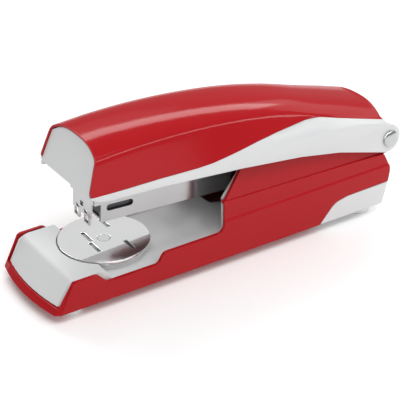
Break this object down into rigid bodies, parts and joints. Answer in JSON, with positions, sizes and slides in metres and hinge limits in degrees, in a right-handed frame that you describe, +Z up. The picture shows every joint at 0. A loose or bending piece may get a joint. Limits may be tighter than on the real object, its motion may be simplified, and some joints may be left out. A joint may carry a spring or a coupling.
{
  "type": "stapler",
  "caption": "Full-strip desk stapler: sheet-steel base, hinged staple magazine, domed pressing arm and turning anvil.",
  "frame": {"origin": "on the desk surface, under the middle of the whole stapler's length and width", "axes": "+X from the nose to the rear hinge, +Y across the stapler, +Z up"},
  "size_m": [0.1422, 0.0422, 0.057],
  "materials": {
    "red_lacquer": "gloss",
    "grey_moulding": "satin",
    "bright_plate": "polished",
    "spring_steel": "satin",
    "clear_rubber": "matt"
  },
  "bodies": {
    "base": {"base_shell": "red_lacquer", "base_liner": "grey_moulding", "base_heel": "grey_moulding", "anvil_seat": "bright_plate", "anvil_washer": "spring_steel", "anvil_pivot": "bright_plate", "hinge_pin": "bright_plate", "lift_spring": "spring_steel", "foot_front_left": "clear_rubber", "foot_front_right": "clear_rubber", "foot_rear_left": "clear_rubber", "foot_rear_right": "clear_rubber", "liner_screw_front": "spring_steel", "liner_screw_rear": "spring_steel", "hinge_spacer_left": "spring_steel", "hinge_spacer_right": "spring_steel", "hinge_washer_left": "spring_steel", "hinge_washer_right": "spring_steel"},
    "anvil": {"anvil_disc": "bright_plate"},
    "magazine": {"magazine_channel": "bright_plate", "magazine_nose_plate": "bright_plate", "magazine_core": "bright_plate", "magazine_bracket": "bright_plate", "staple_strip": "bright_plate", "follower_rod": "bright_plate", "follower_spring": "spring_steel", "magazine_rivet_left_1": "spring_steel", "magazine_rivet_left_2": "spring_steel", "magazine_rivet_right_1": "spring_steel", "magazine_rivet_right_2": "spring_steel"},
    "follower": {"follower": "spring_steel"},
    "arm": {"arm_frame": "grey_moulding", "top_cover": "red_lacquer", "driver_holder": "spring_steel", "driver_blade": "spring_steel", "arm_spring": "spring_steel"}
  },
  "joints": [
    {"name": "magazine_hinge", "type": "hinge", "parent": "base", "child": "magazine", "pos_m": [0.06665, 0, 0.03], "axis": [0, 1, 0], "range_deg": [-4.4, 90], "stiffness_Nm_per_rad": 0.35, "springref_deg": 11.46, "deforming": ["lift_spring"]},
    {"name": "arm_hinge", "type": "hinge", "parent": "magazine", "child": "arm", "pos_m": [0.06665, 0, 0.03], "axis": [0, 1, 0], "range_deg": [-3.3, 70], "stiffness_Nm_per_rad": 0.3, "springref_deg": 5.73, "deforming": ["arm_spring"]},
    {"name": "anvil_turn", "type": "hinge", "parent": "base", "child": "anvil", "pos_m": [-0.04005, 0, 0.0143], "axis": [0, 0, 1], "continuous": true},
    {"name": "follower_slide", "type": "slide", "parent": "magazine", "child": "follower", "axis": [0.9985, 0, -0.0548], "range_m": [0, 0.033], "stiffness_N_per_m": 90, "springref_m": -0.03, "deforming": ["follower_spring"]}
  ]
}
